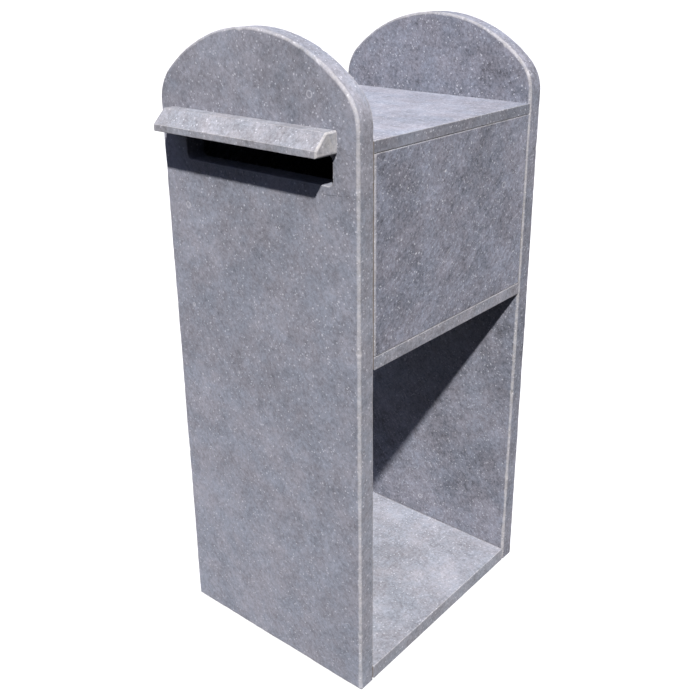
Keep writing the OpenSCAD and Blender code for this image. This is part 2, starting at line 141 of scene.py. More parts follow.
def sun(name, way, energy, spread, colour, shine):
    """A far lamp. way is the way its light travels, spread the angle of its disc in degrees. Without shine it
    lights surfaces but makes no bright spot of its own on metal."""
    lamp = bpy.data.lights.new(name, "SUN")
    lamp.energy, lamp.angle, lamp.color = energy, math.radians(spread), colour
    made = bpy.data.objects.new(name, lamp)
    flat = math.hypot(way[0], way[1])
    made.rotation_euler = (math.atan2(flat, -way[2]), 0, math.atan2(-way[0], way[1]))
    made.visible_glossy = shine
    scene.collection.objects.link(made)
    return math.degrees(math.atan2(-way[2], flat))


key_slope = sun("key_light", (-0.62, 0.64, -1.0), 7.7, 2.0, (1.0, 0.975, 0.95), True)
sun("back_fill", (0.28, -0.94, -0.2), 6.0, 30.0, (0.97, 0.98, 1.0), False)
sun("left_fill", (0.98, -0.2, -0.08), 1.8, 18.0, (0.97, 0.98, 1.0), False)

world = bpy.data.worlds.new("studio")
world.use_nodes = True
tree = world.node_tree
tree.nodes.clear()
way = add(tree, "TexCoord", {})
height = add(tree, "SeparateXYZ", {"Vector": way.outputs["Generated"]})
front_up = add(tree, "VectorMath", {"operation": "DOT_PRODUCT", 0: way.outputs["Generated"],
                                    1: (0.0, -0.45, 0.893)})
shade = add(tree, "MapRange", {"Value": front_up.outputs["Value"], "From Min": 0.42, "From Max": 1.0})
fill = add(tree, "Mix", {"data_type": "RGBA", 0: shade, 6: paint("#1b1d24"), 7: paint("#bccaff")})
dome = add(tree, "Background", {"Color": fill.outputs[2], "Strength": 0.58})
backdrop = add(tree, "Background", {"Color": paint("#fbfbfc"), "Strength": 1.0})
seen = add(tree, "LightPath", {})
upper = add(tree, "MapRange", {"Value": height.outputs["Z"], "From Min": 0.4, "From Max": 0.75})
gleam = add(tree, "Mix", {"data_type": "RGBA", 0: upper, 6: paint("#6f7378"), 7: paint("#f2f4f7")})
studio = add(tree, "Background", {"Color": gleam.outputs[2], "Strength": 1.0})
sky = add(tree, "MixShader", {0: seen.outputs["Is Glossy Ray"], 1: dome, 2: studio})
sky = add(tree, "MixShader", {0: seen.outputs["Is Camera Ray"], 1: sky, 2: backdrop})
add(tree, "OutputWorld", {"Surface": sky})
scene.world = world
print("key light comes down at", round(key_slope), "degrees")

# %% [markdown]
# ## Stone edges
# Every slab is sawn, honed flat and then loses its sharp edges, the arrises, to a quick pass of a hand pad.
# So an arris is a narrow rounded strip. Its width wanders a little, and here and there a chip has widened it.
# A displacement texture could shape that, but the strip is only 1 to 3 mm wide on a slab of 900 mm. Here the
# whole piece is one closed grid: one parameter runs round the outline, the other runs round the section, over
# the front face, the arris, the side and the back. The arris's width is a function of the first parameter.

# %% Wandering and chipped arris widths


def wander(path, step, rng):
    """A smooth random curve between -1 and 1: random heights every step metres, joined with 3t^2 - 2t^3."""
    count = max(4, int(round(path[-1] / step)))
    heights = rng.uniform(-1, 1, count)
    place = path / path[-1] * count
    left = np.floor(place).astype(int) % count
    t = place - np.floor(place)
    t = t * t * (3 - 2 * t)
    return heights[left] * (1 - t) + heights[(left + 1) % count] * t


LONG_WAVE, SHORT_WAVE = 45 * MM, 9 * MM       # steps of the two wanders of an arris
RAGGED = 2.2 * MM                             # step of the wander on a chip's rim
CHIP_LENGTH, CHIP_DEPTH = (2, 5), (0.15, 0.5)   # half length in mm, and depth as a share of the arris


def arris_width(path, width, rng, chips):
    """Width of an arris along a closed path: the plain width, two wanders, and chips that are half ellipses.
    The second result is how deep the arris is chipped there, as a share of its width."""
    wide = width * (1 + 0.16 * wander(path, LONG_WAVE, rng) + 0.13 * wander(path, SHORT_WAVE, rng))
    chipped, whole = np.zeros_like(path), path[-1]
    for at, length, depth in zip(rng.uniform(0, whole, chips), rng.uniform(*CHIP_LENGTH, chips) * MM,
                                 rng.uniform(*CHIP_DEPTH, chips)):
        away = np.abs((path - at + whole / 2) % whole - whole / 2) / length
        ragged = 1 + 0.35 * wander(path, RAGGED, rng)
        chipped = np.maximum(chipped, depth * ragged * np.sqrt(np.clip(1 - away * away, 0, 1)))
    return wide * (1 + chipped), chipped


def length_along(x, z):
    """Distance from the first point along a row of points, to each of them."""
    return np.concatenate([[0], np.cumsum(np.hypot(np.diff(x), np.diff(z)))])


test_path = np.linspace(0, 2.4, 900)
test_width = arris_width(test_path, 2.2 * MM, np.random.default_rng(3), 9)[0]
print("an arris is", (test_width.min() / MM).round(2), "to", (test_width.max() / MM).round(2), "mm wide")

# %% Outlines


def rectangle(u, inset, box):
    """Rectangle box = (x0, z0, x1, z1), every side moved inwards by inset. u from 0 to 4 goes once round."""
    x0, z0, x1, z1 = box[0] + inset, box[1] + inset, box[2] - inset, box[3] - inset
    side, t = np.floor(u) % 4, u - np.floor(u)
    x = np.choose(side.astype(int), [x0 + (x1 - x0) * t, x1 + 0 * t, x1 + (x0 - x1) * t, x0 + 0 * t])
    z = np.choose(side.astype(int), [z0 + 0 * t, z0 + (z1 - z0) * t, z1 + 0 * t, z1 + (z0 - z1) * t])
    return x, z


def arched(u, inset, arch):
    """Rectangle with an arched top, in six parts: bottom, right side, shoulder, arch, shoulder, left side. Arch
    and shoulders are arcs of circles that touch where they meet; moved inwards they keep their centres."""
    half, spring = arch["half"] - inset, arch["spring"]
    small, large = arch["shoulder"] - inset, arch["radius"] - inset
    at = arch["half"] - arch["shoulder"]
    part, t = (np.floor(u) % 6).astype(int), u - np.floor(u)
    touch = math.atan2(spring - arch["centre"], at)
    right, top, left = touch * t, touch + (math.pi - 2 * touch) * t, math.pi - touch * (1 - t)
    x = np.choose(part, [-half + 2 * half * t, half + 0 * t, at + small * np.cos(right), large * np.cos(top),
                         -at + small * np.cos(left), -half + 0 * t])
    z = np.choose(part, [inset + 0 * t, inset + (spring - inset) * t, spring + small * np.sin(right),
                         arch["centre"] + large * np.sin(top), spring + small * np.sin(left),
                         spring + (inset - spring) * t])
    return x, z


def rounded(u, outset, hole):
    """Rectangle with round corners, grown by outset. u from 0 to 8: side, corner, side, corner and so on."""
    x0, z0, x1, z1 = hole["box"]
    r = hole["corner"] + outset
    part, t = (np.floor(u) % 8).astype(int), u - np.floor(u)
    right, left, top, low = x1 - hole["corner"], x0 + hole["corner"], z1 - hole["corner"], z0 + hole["corner"]
    turn = (part // 2 + t) * math.pi / 2
    arc_x, arc_z = r * np.cos(turn), r * np.sin(turn)
    x = np.choose(part, [right + r, right + arc_x, right + (left - right) * t, left + arc_x,
                         left - r, left + arc_x, left + (right - left) * t, right + arc_x])
    z = np.choose(part, [low + (top - low) * t, top + arc_z, top + r, top + arc_z,
                         top + (low - top) * t, low + arc_z, low - r, low + arc_z])
    return x, z


SAMPLES = 64           # points that measure the length of one part of an outline


def spaced(outline, shape, parts, step, least=2):
    """Parameters round an outline: every part from whole number to whole number gets equal steps."""
    rows = []
    for k in range(parts):
        t = k + np.arange(SAMPLES) / SAMPLES
        x, z = outline(t, 0 * t, shape)
        long = length_along(x, z)[-1] * (1 + 1 / SAMPLES)
        count = max(least, round(long / step))
        rows.append(k + np.arange(count) / count)
    return np.concatenate(rows)


def meet(outer, inner, centre):
    """Pairs the parameters of two outlines that both turn once round centre: equal angle, equal row. Each is
    given as its function, its shape, its number of parts and the parameters that it wants rows at."""
    full, tables, angles = 2 * math.pi, [], []
    for outline, shape, parts, u in (outer, inner):
        dense = np.linspace(0, parts, parts * 400 + 1)
        x, z = outline(dense, 0 * dense, shape)
        angle = np.unwrap(np.arctan2(z - centre[1], x - centre[0]))
        tables.append((dense, angle))
        angles.append(np.interp(u, dense, angle))
    start = tables[0][1][0]
    angles = np.sort((np.concatenate(angles) - start) % full)
    angles = angles[np.concatenate([[True], np.diff(angles) > 1e-5])]
    return [np.interp((angles - (angle[0] - start) % full) % full, angle - angle[0], dense)
            for dense, angle in tables]


print("outlines: rectangle, arched and rounded, each a point for a place round it and a distance inwards")

# %% [markdown]
# ## From grid to piece
# A closed slab with a hole through it has the topology of a ring, so its grid closes on itself both ways. A
# slab without a hole has two flat faces instead, each one polygon. Next to each arris lies one more row of
# points, a millimetre inside the flat: it keeps the soft shading of the arris from spreading over the face.
# The mesh also stores how worn each point is, between 0 and 1, and the stone material reads that.

# %% Make a piece from a grid

EASE = 1.0 * MM        # width of the strip beside an arris in which the shading settles


def volume_of(piece):
    """Volume inside a closed mesh, as the sum of its triangles' tetrahedra. It is negative if inside out."""
    mesh = piece.data
    mesh.calc_loop_triangles()
    corners = np.zeros(len(mesh.loop_triangles) * 3, np.int32)
    mesh.loop_triangles.foreach_get("vertices", corners)
    co = np.zeros(len(mesh.vertices) * 3)
    mesh.vertices.foreach_get("co", co)
    a, b, c = np.moveaxis(co.reshape(-1, 3)[corners.reshape(-1, 3)], 1, 0)
    return float(np.einsum("ij,ij->i", a, np.cross(b, c)).sum() / 6)


def grid_piece(name, rows, smooth, closed):
    """A mesh from rows of points, shape (rows, columns, 3). Columns close on themselves. Rows close too, or
    the first and the last row each get one flat polygon. smooth says which quads are shaded as curved."""
    count, columns = rows.shape[:2]
    here = np.arange(count * columns).reshape(count, columns)
    ring = here if closed else here[:-1]
    above = np.roll(here, -1, 0) if closed else here[1:]
    quads = np.stack([ring, above, np.roll(above, -1, 1), np.roll(ring, -1, 1)], -1).reshape(-1, 4)
    ends = [] if closed else [here[0].tolist(), here[-1][::-1].tolist()]
    mesh = bpy.data.meshes.new(name)
    mesh.from_pydata(rows.reshape(-1, 3), [], quads.tolist() + ends)
    mesh.polygons.foreach_set("use_smooth", np.append(smooth[:len(ring)].ravel(), np.zeros(len(ends), bool)))
    piece = bpy.data.objects.new(name, mesh)
    scene.collection.objects.link(piece)
    if volume_of(piece) < 0:
        mesh.flip_normals()
    return piece


def stone_piece(name, rows, worn, closed):
    """A grid piece that also stores how worn each point is. Only the quads of the arrises are shaded smooth."""
    curved = worn > 0
    for way in ((-1, 0), (0, -1), (-1, -1)):
        curved = curved | np.roll(worn > 0, way, (0, 1))
    piece = grid_piece(name, rows, curved, closed)
    wear = piece.data.attributes.new("worn", "FLOAT", "POINT")
    wear.data.foreach_set("value", worn.reshape(-1).astype(np.float32))
    return piece


def ring_rows(outline, shape, u, stations):
    """Rows of one outline. A station is (distance into the stone, depth, worn)."""
    rows, worn = [], []
    for inset, depth, wear in stations:
        x, z = outline(u, inset + 0 * u, shape)
        rows.append(np.stack([x, depth + 0 * u, z], -1))
        worn.append(wear + 0 * u)
    return rows, worn


ARC = np.linspace(0, 1, 6)
CALM = 11 * MM         # beyond this distance from an edge the rows no longer follow its wandering and chips
PULL = 0.33            # how far the pad pulls the quarter of a circle towards a straight chamfer
RUBBED = 0.72          # how worn an arris is where it has no chip


def edge_stations(wide, chipped, face, inwards, from_face):
    """Stations of one arris, from its face round to the side, or back. Inset w (1 - sin a) and depth
    w (1 - cos a) are a quarter of a circle, which is mixed with a straight chamfer in the share PULL."""
    stations = [(wide + EASE, face, 0.0)]
    for t in ARC:
        inset = wide * ((1 - PULL) * (1 - math.sin(t * math.pi / 2)) + PULL * (1 - t))
        depth = wide * ((1 - PULL) * (1 - math.cos(t * math.pi / 2)) + PULL * t)
        stations.append((inset, face + inwards * depth, RUBBED + np.clip(chipped, 0, 1) * (1 - RUBBED)))
    stations.append((0 * wide, face + inwards * (wide + EASE), 0.0))
    return stations if from_face else stations[::-1]


print("an arris has", len(ARC) + 2, "rows of points")

# %% [markdown]
# ## The two arched slabs
# The front slab has the letter slot, the back slab the opening for the door. Both have the same outline. The
# height of the spring line and the edges of the openings are measured on the CAD model, so they always agree.

# %% Measure the arch and the openings


def points_of(node):
    """All points of a CAD node, as rows of x, y, z."""
    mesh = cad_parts[node].data
    co = np.zeros(len(mesh.vertices) * 3)
    mesh.vertices.foreach_get("co", co)
    return co.reshape(-1, 3)


TOUCHING = 0.02 * MM   # a point this near to a plane lies in it
SHOULDER = 62 * MM
low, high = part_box("front_slab")
cad_points = points_of("front_slab")
half, spring = high.x, cad_points[cad_points[:, 0] > high.x - TOUCHING, 2].max()
ARCH = {"half": half, "spring": spring, "shoulder": SHOULDER}
rise, at = high.z - spring, half - SHOULDER
ARCH["radius"] = (at ** 2 + rise ** 2 - SHOULDER ** 2) / (2 * (rise - SHOULDER))
ARCH["centre"] = high.z - ARCH["radius"]


def opening_in(node, face, reach):
    """Box x0, z0, x1, z1 of the CAD points in the plane y = face that lie inside the box reach."""
    co = points_of(node)
    keep = (abs(co[:, 1] - face) < TOUCHING) & (co[:, 0] > reach[0]) & (co[:, 0] < reach[2])
    co = co[keep & (co[:, 2] > reach[1]) & (co[:, 2] < reach[3])]
    return (co[:, 0].min(), co[:, 2].min(), co[:, 0].max(), co[:, 2].max())


ABOVE_SHELF, WITHIN_LIP = 150 * MM, 5 * MM    # the openings lie at least this far from the shelf and the lip
shelf_top, roof_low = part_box("shelf_slab")[1].z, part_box("roof_slab")[0].z
SLOT = {"corner": 8 * MM,
        "box": opening_in("front_slab", high.y, (-half * 0.9, shelf_top + ABOVE_SHELF, half * 0.9, roof_low))}
lip_low, lip_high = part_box("door_frame")
DOORWAY = {"corner": 0.4 * MM,
           "box": opening_in("back_slab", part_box("back_slab")[0].y,
                             (lip_low.x + WITHIN_LIP, lip_low.z + WITHIN_LIP,
                              lip_high.x - WITHIN_LIP, lip_high.z - WITHIN_LIP))}
print("spring line at", round(spring, 4), "m")
print("slot", np.round(SLOT["box"], 4), "and doorway", np.round(DOORWAY["box"], 4))

# %% Make an arched slab


SLAB_ARRIS, SLAB_STEP, HOLE_STEP, HOLE_CHIPS = 3.1 * MM, 2.2 * MM, 2.5 * MM, 3


def arched_slab(name, box, hole, hole_arris, seed, chips):
    """One closed grid: front face, arris, side, arris, back face, then in through the hole to the front."""
    rng = np.random.default_rng(seed)
    front, back = box[0].y, box[1].y
    centre = ((hole["box"][0] + hole["box"][2]) / 2, (hole["box"][1] + hole["box"][3]) / 2)
    outer = (arched, ARCH, 6, spaced(arched, ARCH, 6, SLAB_STEP))
    inner = (rounded, hole, 8, spaced(rounded, hole, 8, HOLE_STEP))
    u, v = meet(outer, inner, centre)
    path = length_along(*arched(u, 0 * u, ARCH))
    ends = [arris_width(path, SLAB_ARRIS, rng, chips) for _ in range(2)]
    path = length_along(*rounded(v, 0 * v, hole))
    rims = [arris_width(path, wide, rng, HOLE_CHIPS) for wide in hole_arris]
    stations = edge_stations(*ends[0], front, 1, True) + edge_stations(*ends[1], back, -1, False)
    stations = [(CALM + 0 * u, front, 0.0)] + stations + [(CALM + 0 * u, back, 0.0)]
    outside = ring_rows(arched, ARCH, u, stations)
    stations = edge_stations(*rims[1], back, -1, True) + edge_stations(*rims[0], front, 1, False)
    stations = [(CALM + 0 * v, back, 0.0)] + stations + [(CALM + 0 * v, front, 0.0)]
    inside = ring_rows(rounded, hole, v, stations)
    rows = np.array(outside[0] + inside[0])
    return stone_piece(name, rows, np.array(outside[1] + inside[1]), True)


front_stone = arched_slab("front_stone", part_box("front_slab"), SLOT, (1.0 * MM, 0.6 * MM), 11, 9)
back_stone = arched_slab("back_stone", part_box("back_slab"), DOORWAY, (0.6 * MM, 0.6 * MM), 12, 11)
for piece in (front_stone, back_stone):
    print(piece.name, len(piece.data.polygons), "quads,", round(volume_of(piece) * 1e6), "cm3")

# %% [markdown]
# ## Base, shelf, roof and side panels
# These are plain sawn blocks with finer arrises. A cube with a Bevel modifier would do for the shape, but its
# arrises would all be alike. So they use the same grid as the slabs: the rectangle runs round the two long
# directions and the section over the thin one.

# %% Make a block


X, Y, Z = 0, 1, 2
BLOCK_STEP = 2 * MM


def stone_block(name, node, thin, wide, seed, chips, fine=0.35):
    """The block in the place of a CAD node. thin is the axis of its thickness. The arrises that run along y, at
    the joints with other blocks, have the share fine of the plain width."""
    rng = np.random.default_rng(seed)
    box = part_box(node)
    across = [axis for axis in (X, Y, Z) if axis != thin]
    along_y = across.index(Y)                 # 0: the even parts of the outline run along y, 1: the odd ones
    shape = [box[0][across[0]], box[0][across[1]], box[1][across[0]], box[1][across[1]]]
    u = spaced(rectangle, shape, 4, BLOCK_STEP)
    path = length_along(*rectangle(u, 0 * u, shape))
    share = np.where(np.floor(u) % 2 == along_y, fine, 1.0)
    ends = [np.array(arris_width(path, wide, rng, chips)) * share for _ in range(2)]
    stations = edge_stations(*ends[0], box[0][thin], 1, True) + edge_stations(*ends[1], box[1][thin], -1, False)
    rows, worn = ring_rows(rectangle, shape, u, stations)
    order = np.argsort([across[0], thin, across[1]])
    return stone_piece(name, np.array(rows)[:, :, order], np.array(worn), False)


base_stone = stone_block("base_stone", "base_slab", Z, 1.3 * MM, 21, 5)
shelf_stone = stone_block("shelf_stone", "shelf_slab", Z, 1.2 * MM, 22, 5)
roof_stone = stone_block("roof_stone", "roof_slab", Z, 1.2 * MM, 23, 6)
left_stone = stone_block("left_stone", "left_panel", X, 2.3 * MM, 24, 5, 0.2)
right_stone = stone_block("right_stone", "right_panel", X, 2.3 * MM, 25, 5, 0.2)
for piece in (base_stone, shelf_stone, roof_stone, left_stone, right_stone):
    print(piece.name, len(piece.data.polygons), "faces,", round(volume_of(piece) * 1e6), "cm3")

# %% [markdown]
# ## The hood over the slot
# The hood is a strip with an upright nose and a bevel, its ends cut back by a small chamfer. Its section is
# a polygon of five corners, and every corner is rounded a little. The section is carried along the width;
# towards the ends it shrinks inwards, which makes the end chamfers. The corners' radius wanders on the way.

# %% Make the hood


def section_loop(corners, inset, radius, steps, spread):
    """A convex polygon (corner rows y, z), moved inwards by inset and with its corners rounded by radius. Each
    corner gives steps + 1 points of an arc, each side spread points; inset and radius are arrays along x."""
    side = np.roll(corners, -1, 0) - corners
    side = side / np.linalg.norm(side, axis=1, keepdims=True)
    normal = np.stack([-side[:, 1], side[:, 0]], -1)                 # inwards, for a counterclockwise polygon
    before = np.roll(normal, 1, 0)
    mitre = (normal + before) / (1 + (normal * before).sum(1, keepdims=True))
    middle = corners[None] + mitre[None] * (inset + radius)[:, None, None]
    turn = np.arccos(np.clip((normal * before).sum(1), -1, 1))
    share = np.linspace(0, 1, steps + 1)
    weight_a = np.sin((1 - share)[None] * turn[:, None]) / np.sin(turn)[:, None]
    weight_b = np.sin(share[None] * turn[:, None]) / np.sin(turn)[:, None]
    out = -(weight_a[..., None] * before[:, None] + weight_b[..., None] * normal[:, None])
    arcs = middle[:, :, None] + out[None] * radius[:, None, None, None]
    following = np.roll(arcs[:, :, 0], -1, 1)
    between = np.linspace(0, 1, spread + 2)[1:-1]
    sides = arcs[:, :, -1][:, :, None] * (1 - between)[None, None, :, None] \
        + following[:, :, None] * between[None, None, :, None]
    return np.concatenate([arcs, sides], 2).reshape(len(inset), -1, 2)


END_CHAMFER, END_MIX = 2.2 * MM, 0.4          # the ends' chamfers, and how straight they are
HOOD_ARRIS, HOOD_ARRIS_MOST, HOOD_CHIPS = 0.9 * MM, 2.4 * MM, 10
END_WORN, SIDE_WORN = 0.8, 0.75


def hood_piece(name, node, nose, bevel, seed):
    """The hood's section carried along x. Rows are sections, so the ends are the first and the last row. Over
    an end the section moves in by c (1 - sin a) where x has gone c (1 - cos a), mixed with a straight slope."""
    rng = np.random.default_rng(seed)
    low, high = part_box(node)
    corners = np.array([(high.y, low.z), (high.y, high.z), (low.y + bevel, high.z),
                        (low.y, low.z + nose), (low.y, low.z)])
    long, ramp = high.x - low.x, np.linspace(0, 1, 5)
    go = (1 - END_MIX) * (1 - np.cos(ramp * math.pi / 2)) + END_MIX * ramp
    pull = (1 - END_MIX) * (1 - np.sin(ramp * math.pi / 2)) + END_MIX * (1 - ramp)
    in_x = np.append(END_CHAMFER * go, END_CHAMFER + EASE)
    in_side = np.concatenate([[END_CHAMFER + EASE], END_CHAMFER * pull, [0]])
    middle = np.arange(END_CHAMFER + 3 * MM, long - END_CHAMFER - 3 * MM, 2.5 * MM)
    along = np.concatenate([[0], in_x, middle, long - in_x[::-1], [long]])
    inset = np.concatenate([in_side, 0 * middle, in_side[::-1]])
    end_worn = np.concatenate([[0], END_WORN + 0 * ramp, [0]])
    radius = np.minimum(arris_width(along, HOOD_ARRIS, rng, HOOD_CHIPS)[0], HOOD_ARRIS_MOST)
    steps, spread = 4, 2
    loop = section_loop(corners, inset, radius, steps, spread)
    rows = np.concatenate([np.broadcast_to((low.x + along)[:, None, None], (*loop.shape[:2], 1)), loop], -1)
    on_arc = np.tile(np.r_[0, np.ones(steps - 1), 0, np.zeros(spread)], len(corners)) * SIDE_WORN
    wear = np.maximum(np.concatenate([end_worn, 0 * middle, end_worn])[:, None], on_arc[None])
    return stone_piece(name, rows, wear, False)


hood_stone = hood_piece("hood_stone", "slot_hood", 9 * MM, 19 * MM, 31)
print(hood_stone.name, len(hood_stone.data.polygons), "faces,", round(volume_of(hood_stone) * 1e6), "cm3")

# %% [markdown]
# ## Honed blue limestone
# The stone is a blue limestone, sawn and honed: matt, grey-blue, mottled at every scale from a hand's width to
# a grain, with pale flecks of shell and a few rings of sea lilies. Each scale has its own layer here, set in
# millimetres. Honing leaves a slight unevenness, which the bump carries. Where an arris was rubbed or chipped
# the crystals are bruised, and the stone is paler and warmer. Slabs from one quarry differ, so each gets its
# own place in the pattern, its own share of flecks and a slightly different tone.

# %% Make the stone material


def per_metre(millimetres):
    """Scale of a pattern whose grain is that many millimetres across."""
    return 1000.0 / millimetres


def blue_limestone(name, place, tone="#7a7c84", contrast=1.3, flecks=0.4, bedding=(11, 35, 6), streaks=0.12,
                   bloom=0.0, wear=0.32, painted_top_light=0.0):
    """tone is the plain colour, contrast the strength of the mottling, flecks the share of cells with a fleck.
    bedding turns the way the beds lie, in degrees, and streaks is how clearly they show. bloom is how pale the
    stone is at the ground, wear how pale its arrises are, painted_top_light the painted light that makes an
    upward face paler."""
    made, tree = new_material(name)
    start = add(tree, "TexCoord", {}).outputs["Object"]
    where = add(tree, "Mapping", {"Vector": start, "Location": place, "Rotation": np.radians(bedding)})
    wobble = add(tree, "TexNoise", {"Vector": where, "Scale": per_metre(5), "Detail": 2.0})
    drift = add(tree, "VectorMath", {"operation": "SCALE", 0: wobble.outputs["Color"], "Scale": 3.0 * MM})
    bent = add(tree, "VectorMath", {"operation": "ADD", 0: where, 1: drift})
    flat, drawn, long = (add(tree, "Mapping", {"Vector": bent, "Scale": (1.0, 1.0, share)})
                         for share in (0.8, 0.1, 0.16))

    # clouds a hand wide, a mottling of 26 mm, a grain of pale crystals and dark clay, up to 4.5 mm, veins along
    # the beds, 9 mm apart and 90 mm long, patches of colour of 60 mm, and the 6 mm grain of a bruised arris
    cloud, mottle, grit, vein, patch, grain = (
        add(tree, "TexNoise", {"Vector": vector, "Scale": per_metre(width), "Detail": detail,
                               "Roughness": coarse})
        for vector, width, detail, coarse in ((where, 130, 3.0, 0.55), (where, 26, 4.0, 0.75),
                                              (flat, 4.5, 3.0, 0.85), (drawn, 9, 4.0, 0.7),
                                              (where, 60, 5.0, 0.8), (where, 6, 3.0, 0.8)))
    # a pale bloom of dust and splashed lime, strongest low down on the left
    reach = add(tree, "VectorMath", {"operation": "DOT_PRODUCT", 0: start, 1: (0.9, 0.0, 1.0)}).outputs["Value"]

    # each layer takes some of the plain tone away, or adds to it, between two shares of it
    level = 1.0
    for layer, low, high, least, most in ((cloud, 0.3, 0.7, -0.12 * contrast, 0.12 * contrast),
                                          (mottle, 0.3, 0.7, -0.15 * contrast, 0.15 * contrast),
                                          (grit, 0.25, 0.75, -0.27 * contrast, 0.37 * contrast),
                                          (reach, -0.16, 0.45, 0.22 * bloom, 0.0),
                                          (vein, 0.35, 0.72, -0.08 * streaks, 0.20 * streaks)):
        part = add(tree, "MapRange", {"Value": layer, "From Min": low, "From Max": high,
                                      "To Min": least, "To Max": most})
        level = add(tree, "Math", {"operation": "ADD", 0: level, 1: part})

    # painted light: a face that looks up is made paler, as if it took more light from above
    facing = add(tree, "SeparateXYZ", {"Vector": add(tree, "TexCoord", {}).outputs["Normal"]})
    upper = add(tree, "MapRange", {"Value": facing.outputs["Z"], "From Min": 0.4, "From Max": 0.9,
                                   "To Min": 1.0, "To Max": 1.0 + painted_top_light})
    level = add(tree, "Math", {"operation": "MULTIPLY", 0: level, 1: upper})
    body = add(tree, "VectorMath", {"operation": "SCALE", 0: paint(tone)[:3], "Scale": level})

    # the patches lean to blue or to violet brown
    lean = add(tree, "ValToRGB", {"Fac": patch})
    for stop, position, colour in zip(lean.color_ramp.elements, (0.4, 0.6), ("#f8fbff", "#fffbfb")):
        stop.position, stop.color = position, paint(colour)
    body = add(tree, "Mix", {"data_type": "RGBA", "blend_type": "MULTIPLY", 0: 1.0, 6: body, 7: lean})
    body = body.outputs[2]

    # cut shells, in cells of a pattern of which a share is kept: flecks up to 3 mm across, which gather in the
    # veins, and slivers along the beds, up to 3 mm thick and 18 mm long
    dense = add(tree, "MapRange", {"Value": vein, "From Min": 0.36, "From Max": 0.62,
                                   "To Min": 1.0 - 0.85 * streaks, "To Max": 1.0 + 0.35 * streaks})
    for laid, cell, channel, dropped, largest, rim, strength, gathered, colour in (
            (bent, 3.6, 0, 1.0 - flecks, 0.40, (-0.05, 0.13), 0.62, dense, "#bfc0c8"),
            (long, 9, 1, 0.86, 0.16, (-0.03, 0.1), 0.4, 1.0, "#c2c2c9")):
        cells = add(tree, "TexVoronoi", {"Vector": laid, "Scale": per_metre(cell)})
        pick = add(tree, "SeparateColor", {"Color": cells.outputs["Color"]})
        size = add(tree, "MapRange", {"Value": pick.outputs[channel], "From Min": dropped, "To Max": largest})
        edge = add(tree, "Math", {"operation": "SUBTRACT", 0: size, 1: cells.outputs["Distance"]})
        shell = add(tree, "MapRange", {"Value": edge, "From Min": rim[0], "From Max": rim[1],
                                       "To Max": strength})
        shell = add(tree, "Math", {"operation": "MULTIPLY", 0: shell, 1: gathered})
        body = add(tree, "Mix", {"data_type": "RGBA", 0: shell, 6: body, 7: paint(colour)}).outputs[2]

    # rings of sea lilies, 8 mm across, a few to a slab: points of a cell whose distance from its middle is 4 mm
    cells = add(tree, "TexVoronoi", {"Vector": bent, "Scale": per_metre(60)})
    pick = add(tree, "SeparateColor", {"Color": cells.outputs["Color"]})
    kept = add(tree, "Math", {"operation": "GREATER_THAN", 0: pick.outputs[2], 1: 0.82})
    off = add(tree, "Math", {"operation": "SUBTRACT", 0: cells.outputs["Distance"], 1: 4.0 / 60})
    off = add(tree, "Math", {"operation": "ABSOLUTE", 0: off})
    ring = add(tree, "MapRange", {"Value": off, "From Min": 1.3 / 60, "From Max": 0.3 / 60, "To Max": 0.4})
    ring = add(tree, "Math", {"operation": "MULTIPLY", 0: ring, 1: kept})
    body = add(tree, "Mix", {"data_type": "RGBA", 0: ring, 6: body, 7: paint("#c2c2c8")}).outputs[2]

    # bruised arrises and chips: the worn attribute, broken up by its grain
    worn = add(tree, "Attribute", {"attribute_name": "worn"}).outputs["Fac"]
    broken = add(tree, "MapRange", {"Value": grain, "From Min": 0.36, "From Max": 0.62,
                                    "To Min": 0.4 * wear, "To Max": wear})
    bruise = add(tree, "Math", {"operation": "MULTIPLY", 0: worn, 1: broken})
    body = add(tree, "Mix", {"data_type": "RGBA", 0: bruise, 6: body, 7: paint("#bdb9b4")}).outputs[2]

    # surface: matt; grain and the unevenness left by honing in the bump
    rough = add(tree, "MapRange", {"Value": grit, "To Min": 0.62, "To Max": 0.82})
    relief = add(tree, "Math", {"operation": "MULTIPLY_ADD", 0: mottle, 1: 1.5, 2: grit})
    bump = add(tree, "Bump", {"Height": relief, "Strength": 0.4, "Distance": 0.4 * MM})
    shader = add(tree, "BsdfPrincipled", {"Base Color": body, "Roughness": rough, "Normal": bump, "IOR": 1.5,
                                          "Specular IOR Level": 0.15})
    add(tree, "OutputMaterial", {"Surface": shader})
    return made


PANEL = {"tone": "#6d6f79", "contrast": 2.1, "flecks": 0.8, "bedding": (55, 14, 9), "streaks": 1.0,
         "wear": 0.42}
STONES = [
    (front_stone, "front_slab", (0, 0, 0), {"bloom": 1.0, "wear": 0.4}),
    (back_stone, "back_slab", (3.1, 1.7, 0.4),
     {"tone": "#71737c", "contrast": 1.8, "flecks": 0.45, "bloom": -0.3, "wear": 0.52}),
    (base_stone, "base_slab", (5.2, 0.3, 2.2), {"tone": "#82848b", "flecks": 0.5}),
    (shelf_stone, "shelf_slab", (1.2, 4.4, 0.9), {"tone": "#7b7c83", "contrast": 1.5}),
    # the roof's upper face gets painted light from above: it is made paler
    (roof_stone, "roof_slab", (2.4, 2.1, 3.3), {"tone": "#70727a", "flecks": 0.5, "painted_top_light": 0.48}),
    (left_stone, "left_panel", (0.7, 3.3, 5.1), PANEL),
    (right_stone, "right_panel", (4.3, 0.9, 1.6), PANEL),
    (hood_stone, "slot_hood", (2.0, 5.0, 2.0), {"tone": "#818287", "flecks": 0.45, "wear": 0.58}),
]
for piece, node, place, look in STONES:
    name = "honed_limestone_" + piece.name.removesuffix("_stone")
    piece.data.materials.append(blue_limestone(name, place, **look))
    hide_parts(node)
    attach(piece, "pillar")
print(len(STONES), "pieces of stone have their finish")

